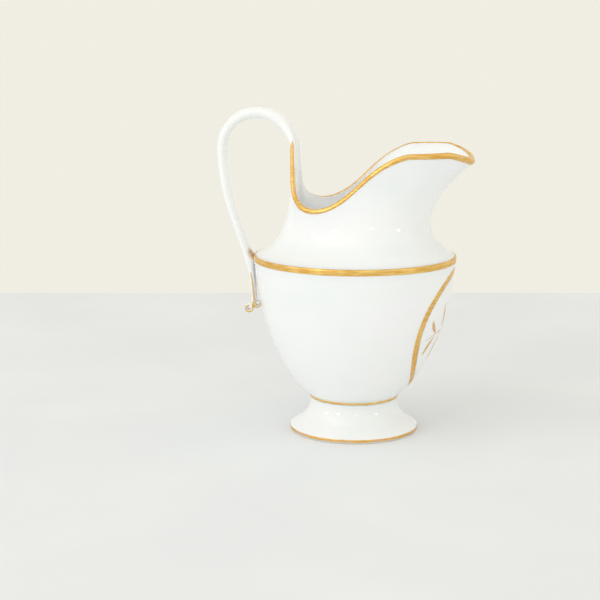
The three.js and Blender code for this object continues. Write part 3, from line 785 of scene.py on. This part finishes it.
handle_rings = []
for k in range(1, len(station_marks)):
    mark = station_marks[k]
    taken = float(ease(mark, 0, 15))
    narrowing = math.exp(-mark / (base_slant * widest))
    outward = np.where(section_sin > 0, strap_thick[k] / 2, np.abs(inner_thick[k]))
    own_y = strap_half[k] * section_cos
    own_lift = outward * section_sin
    y = mix(base_local[:, 0] * narrowing, own_y, taken)
    lift = mix(base_local[:, 1], own_lift, taken)
    ahead = base_local[:, 2] * (1 - float(ease(mark, 0, 9)))
    ring = (station_centre[k] + np.outer(y, [0, 1, 0]) + np.outer(lift, station_out[k])
            + np.outer(ahead, station_ahead[k]))
    handle_rings.append(ring)
ring_numbers = keep("handle", np.array(handle_rings))
all_rings = np.vstack([np.array(base_ring), ring_numbers])
sheet_faces(all_rings, True)
skin_faces += cap([int(n) for n in all_rings[-1]])
skin_points = np.concatenate(points)
neck_and_handle = piece(
    "neck_and_handle", skin_points, skin_faces, HANDLE_GLAZE, ["neck", "handle"], "porcelain",
)


# ---- The double scroll at the handle's end ----

def curl(start_line, centre, turns, radii, thick, half):
    """A thin strap that follows a line and then rolls up round a centre."""
    angles = np.radians(np.linspace(turns[0], turns[1], 46))
    sizes = np.interp(np.linspace(0, 1, 46), [0, 0.45, 1], radii)
    roll = np.array(centre) + np.stack([np.cos(angles), np.sin(angles)], axis=-1) * sizes[:, None]
    line, marks = evenly(np.vstack([start_line, roll]), 0.16)
    line = np.stack([soften(line[:, 0], 3), soften(line[:, 1], 3)], axis=-1)
    slope = unit(np.gradient(line, axis=0))
    out = np.stack([slope[:, 1], -slope[:, 0]], axis=-1)
    thickness = np.interp(marks / marks[-1], [0, 0.3, 1], thick)
    return line, out, thickness, half, marks


OUTER_CURL = curl(
    start_line=[(-50.35, 66.0), (-50.3, 64.4), (-50.2, 62.9)], centre=(-52.3, 60.4), turns=(28, -372),
    radii=(2.15, 1.85, 0.55), thick=(1.8, 1.7, 1.25), half=3.25,
)
INNER_CURL = curl(
    start_line=[(-49.5, 66.0), (-49.55, 64.6)], centre=(-47.95, 62.2), turns=(160, 500),
    radii=(1.75, 1.5, 0.5), thick=(1.5, 1.4, 1.1), half=3.15,
)


def strap_solid(line, out, thickness, half, sides=20):
    """Points and faces of a flat strap along a line, narrow where it leaves the tail."""
    turns = np.linspace(0, 2 * math.pi, sides, endpoint=False) + math.pi / sides
    c, s = np.cos(turns), np.sin(turns)
    flat = np.sign(c) * np.abs(c) ** 0.45
    rings = []
    narrow = mix(0.8, 1, ease(np.arange(len(line)), 0, 16))
    for here, outward, thick, share in zip(line, out, thickness * narrow, narrow):
        lift = np.sign(s) * np.abs(s) ** 0.8 * thick / 2
        rings.append(np.stack([
            here[0] + outward[0] * lift, flat * half * share, here[1] + outward[1] * lift,
        ], axis=-1))
    count = len(rings)
    faces = grid_faces(count, sides, close_columns=True)
    faces += cap(range(sides)) + cap(range((count - 1) * sides, count * sides))
    return np.concatenate(rings), faces


outer_points, outer_faces = strap_solid(*OUTER_CURL[:4])
inner_points, inner_faces = strap_solid(*INNER_CURL[:4])
scroll_faces = outer_faces + [[n + len(outer_points) for n in face] for face in inner_faces]
scroll = piece(
    "double_scroll", np.vstack([outer_points, inner_points]), scroll_faces, BODY_GLAZE,
    ["handle_scroll"], "porcelain",
)


def fuse(made, voxel, rounds):
    """Runs a piece's overlapping parts together into one skin, as they are once fired."""
    remesh = made.modifiers.new("fired", "REMESH")
    remesh.mode = "VOXEL"
    remesh.voxel_size = voxel * MM
    remesh.use_smooth_shade = True
    smooth = made.modifiers.new("glaze", "SMOOTH")
    smooth.factor = 0.5
    smooth.iterations = rounds
    graph = bpy.context.evaluated_depsgraph_get()
    fired = bpy.data.meshes.new_from_object(made.evaluated_get(graph))
    made.modifiers.clear()
    fired.materials.clear()
    fired.materials.append(made.data.materials[0])
    fired.name = made.name
    made.data = fired
    for polygon in fired.polygons:
        polygon.use_smooth = True


fuse(scroll, voxel=0.17, rounds=3)


# ---- Gilding ----

def skin_of(*pieces):
    """The glazed surface that gold is laid on."""
    corners, faces = [], []
    for made in pieces:
        start = len(corners)
        corners += [tuple(v.co / MM - Vector((AXIS_X, 0, 0))) for v in made.data.vertices]
        faces += [[start + n for n in p.vertices] for p in made.data.polygons]
    return BVHTree.FromPolygons(corners, faces)


GOLD_LIFT = 0.05
GOLD_SINK = 0.06


def laid(name, strip, skin, finish, nodes, ring=False, reach=3.0, lift=GOLD_LIFT):
    """Gold on a surface. The strip is a grid of places, stations by places across, that are brought to
    the surface. The layer is domed and sinks into the glaze at its edges, so it has no open side."""
    strip = np.asarray(strip, float)
    stations, across = strip.shape[:2]
    top = np.empty_like(strip)
    under = np.empty_like(strip)
    profile = np.sin(np.linspace(0, math.pi, across)) ** 0.35
    ends = np.ones(stations) if ring else np.clip(np.minimum(
        np.arange(stations), np.arange(stations)[::-1]) / 1.5, 0, 1)
    for i in range(stations):
        for j in range(across):
            spot, normal, _, _ = skin.find_nearest(Vector(strip[i, j]), reach)
            spot, normal = np.array(spot), np.array(normal)
            height = lift * profile[j] * ends[i]
            top[i, j] = spot + normal * (height if height > 0.004 else -0.01)
            under[i, j] = spot - normal * GOLD_SINK
    loops = np.concatenate([top, under[:, ::-1]], axis=1)
    size = loops.shape[1]
    faces = grid_faces(stations, size, close_rows=ring, close_columns=True)
    if not ring:
        faces += cap(range(size)) + cap(range((stations - 1) * size, stations * size))
    return piece(name, loops.reshape(-1, 3), faces, finish, nodes, "gilding")


def band(line, angles, seed, uneven):
    """A gilt ring. The line is its profile from bottom to top, and both edges wander a little."""
    line = np.asarray(line, float)
    share = np.linspace(0, 1, len(line))
    rings = []
    for angle in angles:
        low = uneven * wander(angle, seed)
        high = uneven * wander(angle, seed + 5)
        height = line[:, 1] + mix(low, high, share)
        rings.append(around(angle, line[:, 0], height))
    return np.array(rings)


bowl_skin = skin_of(bowl)
foot_skin = skin_of(bpy.data.objects["foot_ring"])
neck_skin = skin_of(neck_and_handle)
scroll_skin = skin_of(scroll)
fine_angles = np.linspace(0, 2 * math.pi, 360, endpoint=False)


def gilt_band(name, radius, bottom, top, skin, finish, nodes, seed, uneven, rows_across=7):
    heights = np.linspace(bottom, top, rows_across)
    line = np.stack([np.full(rows_across, radius), heights], axis=-1)
    rings = band(line, fine_angles, seed, uneven)
    return laid(name, rings, skin, finish, nodes, ring=True)


edge_heights = np.linspace(EDGE_BOTTOM + 0.05, SHOULDER_HEIGHT - EDGE_ROUNDING, 6)
shoulder_line = [
    *[(SHOULDER_RADIUS, height) for height in edge_heights],
    (SHOULDER_RADIUS - 0.13, SHOULDER_HEIGHT - 0.13),
    (SHOULDER_RADIUS - EDGE_ROUNDING, SHOULDER_HEIGHT + 0.02),
    (SHOULDER_RADIUS - 0.75, SHOULDER_HEIGHT + 0.12),
]
shoulder_skin = skin_of(bowl, neck_and_handle)
shoulder_rings = [
    [around(angle, r, z + 0.1 * float(wander(angle, 1.3 + (k > 4))) * (k in (0, 8)))
     for k, (r, z) in enumerate(shoulder_line)]
    for angle in fine_angles
]
laid("shoulder_gilt_band", shoulder_rings, shoulder_skin, BAND_GOLD, ["shoulder_band"], ring=True)
gilt_band("waist_gilt_ring", WAIST_RADIUS, WAIST_HEIGHT + 0.15, WAIST_HEIGHT + 1.25, bowl_skin, BAND_GOLD,
          ["waist_ring"], 2.1, 0.07, 5)
gilt_band("foot_gilt_band", FOOT_RADIUS, 0.55, 2.25, foot_skin, FOOT_GOLD, ["foot_band"], 3.7, 0.14)

# The lip's gold runs from a point high on one edge of the tongue, round the lip, to the other side.
EDGE_RINGS = 7


def ring_frame(ring, crown, step):
    """The edge of the handle at one ring: outer corner, crown and inner corner."""
    reach = ROUND_STEPS // 2 + 1
    return ring[(crown - step * reach) % len(ring)], ring[crown], ring[(crown + step * reach) % len(ring)]


def edge_frames():
    """The gilt edge from end to end, each place with its outside corner, crown, inside corner, mark."""
    frames = []
    for side, crown, step in (("far", far_crown, 1), ("near", near_crown, -1)):
        part = []
        for k in range(1, EDGE_RINGS):
            ring = handle_rings[k - 1]
            outside, top, inside = ring_frame(ring, crown, step)
            part.append((outside, top, inside, 1000 + station_marks[k]))
        frames.append(part)
    lip = [
        (neck_outside[-1][j], lip_round[ROUND_STEPS // 2][j], neck_inside[-1][j], math.degrees(lip_angles[j]))
        for j in range(LIP_COUNT)
    ]
    return frames[0][::-1] + lip + frames[1]


# Degrees round from the spout, and there: millimetres of gold below the rounding outside, how far over
# the rounding it goes (0 to 1), and millimetres of gold on the inside.
GOLD_PLACES = [0, 20, 45, 70, 90, 120, 135, 148, math.degrees(EDGE_ANGLE)]
GOLD_OUTSIDE = [1.5, 1.4, 0.85, 0.5, 0.45, 0.65, 0.8, 0.5, 0.12]
GOLD_OVER = [1.0, 1.0, 0.97, 0.9, 0.86, 0.84, 0.8, 0.7, 0.5]
GOLD_INSIDE = [0.9, 0.6, 0.12, 0.08, 0.08, 0.08, 0.08, 0.08, 0.08]
EDGE_END = station_marks[EDGE_RINGS - 1]


def lip_gold(mark):
    """The gold outside, over and inside the lip at a place, and where it starts on the rounding."""
    if mark > 900:
        left = max(0.0, 1 - (mark - 1000) / EDGE_END) ** 0.8
        return 0.12 * left, 0.53, 0.05, 0.5 - 0.5 * left
    outside, over, inside = (
        float(np.interp(abs(mark), GOLD_PLACES, widths)) for widths in (GOLD_OUTSIDE, GOLD_OVER, GOLD_INSIDE)
    )
    return outside, over, inside, 0.0


lip_strip = []
for number, (outside, crown, inside, mark) in enumerate(edge_frames()):
    below, over, within, start = lip_gold(mark)
    out = unit(outside - inside)
    middle = (outside + inside) / 2
    off = unit(crown - middle)
    size = np.linalg.norm(outside - inside) / 2
    rise = np.linalg.norm(crown - middle)
    uneven = 0.1 * float(wander(number / 58, 4.4, 6))
    skirt = below + uneven * min(1, below * 3)
    places = [outside - off * skirt * share for share in (1, 0.75, 0.5, 0.25)]
    for share in np.linspace(0, 1, 12):
        turn = math.pi * mix(start, over + 0.02 * uneven, share)
        places.append(middle + size * math.cos(turn) * out + rise * math.sin(turn) * off)
    last = places[-1]
    hem = within * (1 + 1.5 * uneven)
    places += [last - off * hem * share for share in (0.34, 0.67, 1)]
    lip_strip.append(places)
laid("lip_gilt_edge", lip_strip, neck_skin, LIP_GOLD, ["lip_gilding"])


# The medallion under the spout and the sprig inside it, drawn as degrees round and height.
MEDALLION_MIDDLE = 52.3
MEDALLION_HALF_HEIGHT = 29.5
MEDALLION_HALF_ANGLE = 41.0
MEDALLION_LINE_WIDTH = 4.2
MEDALLION_UNEVEN = 0.14


def on_bowl(turn_degrees, height):
    """A place on the bowl's outside."""
    radius = np.interp(height, bowl_line[:, 1], bowl_line[:, 0])
    return around(np.radians(turn_degrees), radius, height)


def brush(path, widths, across=5):
    """A brush stroke along a path of places on the bowl: a strip as wide as `widths` says."""
    path = np.asarray(path, float)
    line = on_bowl(path[:, 0], path[:, 1])
    ahead = unit(np.gradient(line, axis=0))
    out = around(np.radians(path[:, 0]), 1.0, 0.15)
    side = unit(np.cross(out, ahead))
    return np.stack([line + side * (share * np.asarray(widths) / 2)[:, None]
                     for share in np.linspace(-1, 1, across)], axis=1)


def stroke(start, end, bow, width, count=18, thin=0.12):
    """A bowed stroke that swells in the middle and ends in fine points."""
    start, end = np.array(start, float), np.array(end, float)
    share = np.linspace(0, 1, count)
    path = mix(start, end, share[:, None]) + np.outer(4 * share * (1 - share), np.array(bow, float))
    return brush(path, width * np.maximum(np.sin(math.pi * share) ** 0.8, thin))


medallion_turns = np.linspace(0, 2 * math.pi, 220, endpoint=False)
medallion_path = np.stack([
    MEDALLION_HALF_ANGLE * np.cos(medallion_turns),
    MEDALLION_MIDDLE + MEDALLION_HALF_HEIGHT * np.sin(medallion_turns),
], axis=-1)
medallion_path = np.vstack([medallion_path[-3:], medallion_path, medallion_path[:3]])
brushed_turns = np.concatenate([medallion_turns[-3:], medallion_turns, medallion_turns[:3]])
medallion_width = MEDALLION_LINE_WIDTH + MEDALLION_UNEVEN * wander(brushed_turns, 6.2, 6)
laid("medallion_gilt_frame", brush(medallion_path, medallion_width, 6)[3:-3], bowl_skin, BAND_GOLD,
     ["medallion_frame"], ring=True)

STEM_REACH = 34.0
STEM_WIDTH = 0.95
LEAF_WIDTH = 2.7
LEAF_LEAN = 1.6
LEAF_GAP = 0.7


def stem_height(turn):
    return MEDALLION_MIDDLE - 2.0 * (turn / STEM_REACH) ** 2


stem_share = np.linspace(-1, 1, 60)
stem_path = np.stack([
    stem_share * STEM_REACH,
    stem_height(stem_share * STEM_REACH) + 0.5 * np.sin(stem_share * 9),
], axis=-1)
stem_width = STEM_WIDTH * np.maximum(np.cos(stem_share * math.pi / 2) ** 0.5, 0.2)
laid("sprig_gilt_stem", brush(stem_path, stem_width), bowl_skin, WORN_GOLD, ["sprig_stem"])

SPRIG_LEAVES = [
    (-21, -30, 9.0), (-21, -30, -9.0), (-8, -16, 15.0), (-8, -16, -14.1),
    (8, 16, 15.0), (8, 16, -14.1), (21, 30, 9.0), (21, 30, -9.0),
]
for number, (turn, tip_turn, rise) in enumerate(SPRIG_LEAVES, 1):
    foot = (turn, stem_height(turn) + math.copysign(LEAF_GAP, rise))
    tip = (tip_turn, stem_height(tip_turn) + rise)
    lean = LEAF_LEAN if tip_turn > turn else -LEAF_LEAN
    laid(f"sprig_gilt_leaf_{number}", stroke(foot, tip, (lean, 0), LEAF_WIDTH, 22), bowl_skin, WORN_GOLD,
         [f"sprig_leaf_{number}"])


# The handle's gilding: a fine stroke over the top, dots down the spine and lines on the tail's edges.

def spine(mark):
    """A place on the handle's outer face, its outward direction, and the way ahead."""
    centre = np.array([np.interp(mark, station_marks, station_centre[:, k]) for k in range(3)])
    out = unit([np.interp(mark, station_marks, station_out[:, k]) for k in range(3)])
    thick = np.interp(mark, station_marks, strap_thick)
    return centre + out * thick / 2, out


TOP_STROKE = np.linspace(0.42, 0.68, 34) * LOOP_LENGTH
strip = []
for mark in TOP_STROKE:
    share = (mark - TOP_STROKE[0]) / (TOP_STROKE[-1] - TOP_STROKE[0])
    half = 0.5 * max(math.sin(math.pi * share) ** 0.7, 0.15) * (1 + 0.15 * math.sin(mark * 1.9))
    here, _ = spine(mark)
    sway = 0.35 * math.sin(mark * 0.21)
    strip.append([here + np.array([0, s * half + sway, 0]) for s in np.linspace(-1, 1, 5)])
laid("handle_top_gilt_stroke", strip, neck_skin, WORN_GOLD, ["handle_top_stroke"])

DOTS_START = 0.76
DOT_OFFSET = 0.5
DOT_PITCH = 5.8
DOT_TO_NEAR_SIDE = 2.2
DOT_SIZES = (0.5, 0.6, 0.36, 0.68, 0.7, 0.66, 0.42, 0.6, 0.38, 0.52)
for number, size in enumerate(DOT_SIZES):
    mark = DOTS_START * LOOP_LENGTH + DOT_OFFSET + DOT_PITCH * number
    here, out = spine(mark)
    ahead = unit(np.cross(out, [0, 1, 0]))
    strip = []
    for u in np.linspace(-1, 1, 9):
        half = math.sqrt(max(1 - u * u, 0.02)) * size
        slip = 0.25 * math.sin(number * 2.3) - DOT_TO_NEAR_SIDE
        strip.append([here + ahead * u * size * 1.05 + np.array([0, s * half + slip, 0])
                      for s in np.linspace(-1, 1, 7)])
    laid(f"handle_gilt_dot_{number + 1}", strip, neck_skin, WORN_GOLD if size < 0.45 else LIP_GOLD,
         [f"handle_dot_{number + 1}"])

TAIL_LINE_HALF_WIDTHS = (0.14, 0.85)
for name, node, side in (
    ("tail_gilt_line_near", "tail_line_near", -1), ("tail_gilt_line_far", "tail_line_far", 1),
):
    marks = LEG_END + np.linspace(0.3, 1.0, 40) * TAIL_LENGTH
    strip = []
    for mark in marks:
        share = (mark - marks[0]) / (marks[-1] - marks[0])
        centre = np.array([np.interp(mark, station_marks, station_centre[:, k]) for k in range(3)])
        out = unit([np.interp(mark, station_marks, station_out[:, k]) for k in range(3)])
        half_width = np.interp(mark, station_marks, strap_half)
        half = mix(*TAIL_LINE_HALF_WIDTHS, share ** 0.7)
        edge = centre + np.array([0, side * half_width, 0])
        strip.append([edge + out * (s * half - 0.1) for s in np.linspace(-1, 1, 6)])
    laid(name, strip, neck_skin, LIP_GOLD, [node])

CURL_GOLD_END = 0.93
CURL_GOLD_SHARE = 0.42
for name, roll, begin in (("outer_curl", OUTER_CURL, 0.16), ("inner_curl", INNER_CURL, 0.1)):
    line, out, thickness, half, marks = roll
    first, last = int(begin * len(line)), int(CURL_GOLD_END * len(line))
    for side, word in ((-1, "near"), (1, "far")):
        strip = []
        for k in range(first, last, 2):
            width = thickness[k] * CURL_GOLD_SHARE * min(1, (k - first) / 10 + 0.2)
            across = [(line[k][0] + out[k][0] * s * width, line[k][1] + out[k][1] * s * width)
                      for s in np.linspace(-1, 1, 6)]
            strip.append([(x, side * (half + 0.1), z) for x, z in across])
        laid(f"{name}_gilt_{word}", strip, scroll_skin, LIP_GOLD, [])


# ---- The table, the light and the camera ----

LOOK_TURN = math.radians(6)
CAMERA = Vector((0.0502, -0.6869, 0.1941))
CAMERA_DROP = math.radians(10.652)

cloth = Finish("pale_cloth")
spot = cloth.where()
weave = cloth.noise(cloth.stretch(spot, (1.0, 0.25, 1.0)), 0.9, 3)
soft = cloth.noise(spot, 120, 3)
cloth_tint = cloth.blend(cloth.ramp(soft, 0.35, 0.7), colour(232, 235, 240), colour(236, 239, 243))
cloth_surface = cloth.add("ShaderNodeBsdfPrincipled", None, {
    "Base Color": cloth_tint, "Roughness": 0.9, "Normal": cloth.bump(weave, 0.2, 0.1),
    "Specular IOR Level": 0.2,
})
cloth_finish = cloth.done(cloth_surface)

CLOTH_BEHIND = 0.373
CLOTH_FRONT = -3.0
CLOTH_SIDE = 3.0
turn_x, turn_y = math.cos(LOOK_TURN), math.sin(LOOK_TURN)
corners = []
for right, deep in (
    (-CLOTH_SIDE, CLOTH_FRONT), (CLOTH_SIDE, CLOTH_FRONT),
    (CLOTH_SIDE, CLOTH_BEHIND), (-CLOTH_SIDE, CLOTH_BEHIND),
):
    corners.append((AXIS_X * MM + right * turn_x - deep * turn_y, right * turn_y + deep * turn_x, 0.0))
table_mesh = bpy.data.meshes.new("table_cloth")
table_mesh.from_pydata(corners, [], [[0, 1, 2, 3]])
table_mesh.materials.append(cloth_finish)
table = bpy.data.objects.new("table_cloth", table_mesh)
bpy.context.scene.collection.objects.link(table)

world = bpy.data.worlds.new("pale_room")
world.use_nodes = True
room = world.node_tree.nodes["Background"]
room.inputs["Color"].default_value = colour(246, 243, 232)
room.inputs["Strength"].default_value = 0.95
bpy.context.scene.world = world
bpy.context.scene.view_settings.view_transform = "Standard"


def lamp(name, turn, rise, distance, width, height, power, tint=(1, 1, 1)):
    """A soft lamp aimed at the jug. Its turn is from the camera's side, to the right."""
    data = bpy.data.lights.new(name, "AREA")
    data.shape = "RECTANGLE"
    data.size, data.size_y = width, height
    data.energy = power
    data.color = tint
    made = bpy.data.objects.new(name, data)
    facing = math.radians(turn) + LOOK_TURN
    across, up = math.cos(math.radians(rise)), math.sin(math.radians(rise))
    direction = Vector((math.sin(facing) * across, -math.cos(facing) * across, up))
    target = Vector((AXIS_X * MM, 0, 0.08))
    made.location = target + direction * distance
    made.rotation_mode = "QUATERNION"
    made.rotation_quaternion = direction.to_track_quat("Z", "Y")
    bpy.context.scene.collection.objects.link(made)
    return made


DAYLIGHT = (0.9, 0.95, 1.0)
lamp("window_light", turn=-55, rise=42, distance=1.6, width=1.4, height=1.2, power=3.7, tint=DAYLIGHT)
lamp("far_window_light", turn=60, rise=30, distance=1.8, width=1.6, height=1.2, power=1.6, tint=DAYLIGHT)
# Small panes that show as highlights: name, turn and rise in degrees, width in metres, watts.
PANES = (
    ("pane_1", -72, 9, 0.1, 0.8), ("pane_2", -42, 10.5, 0.2, 2.4),
    ("pane_3", 5, 14, 0.1, 0.8), ("pane_4", 57, 9.5, 0.09, 0.6),
)
PANE_DISTANCE = 1.8
PANE_HEIGHT_SHARE = 0.55
for name, turn, rise, size, power in PANES:
    lamp(name, turn, rise, PANE_DISTANCE, size, size * PANE_HEIGHT_SHARE, power)

camera_data = bpy.data.cameras.new("camera")
camera_data.lens = 85
camera_data.sensor_width = 36
camera_data.clip_start = 0.01
camera = bpy.data.objects.new("camera", camera_data)
camera.location = CAMERA
camera.rotation_euler = (math.pi / 2 - CAMERA_DROP, 0, LOOK_TURN)
bpy.context.scene.collection.objects.link(camera)
bpy.context.scene.camera = camera
